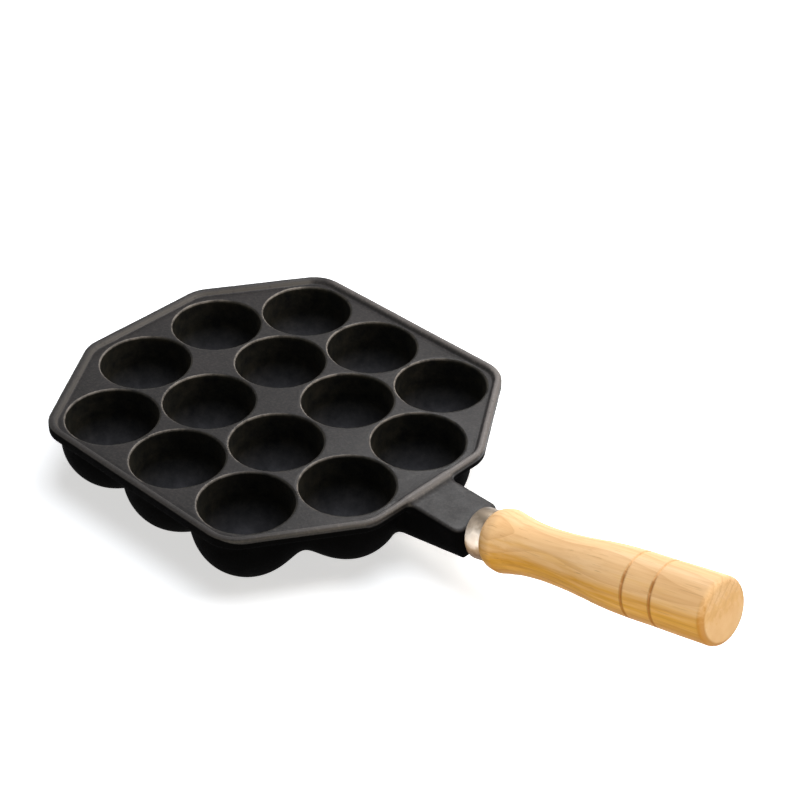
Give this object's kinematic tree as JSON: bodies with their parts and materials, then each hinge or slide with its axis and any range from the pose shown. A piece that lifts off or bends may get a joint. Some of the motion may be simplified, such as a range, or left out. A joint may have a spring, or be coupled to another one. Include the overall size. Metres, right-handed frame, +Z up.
{
  "type": "takoyaki pan",
  "caption": "Cast-iron takoyaki pan: a rounded octagonal plate with round wells, a low rim, a short arm, a steel ferrule and a turned wooden handle.",
  "frame": {"origin": "centre of the bottom of the whole part's box, in the plane of the flat spots under the wells", "axes": "+X along the pan towards the handle's end, +Z up, +Y across the plate"},
  "size_m": [0.343, 0.174, 0.0713],
  "materials": {
    "iron": "dark grey cast iron with a fine sand-cast grain",
    "ferrule_steel": "plain drawn steel with a soft turned sheen",
    "stud_steel": "zinc-coated threaded rod, out of sight",
    "grip_wood": "pale turned wood with a satin clear coat"
  },
  "bodies": {
    "root": {"pan_casting": "iron", "ferrule": "ferrule_steel", "stud": "stud_steel", "handle_grip": "grip_wood"}
  },
  "joints": []
}
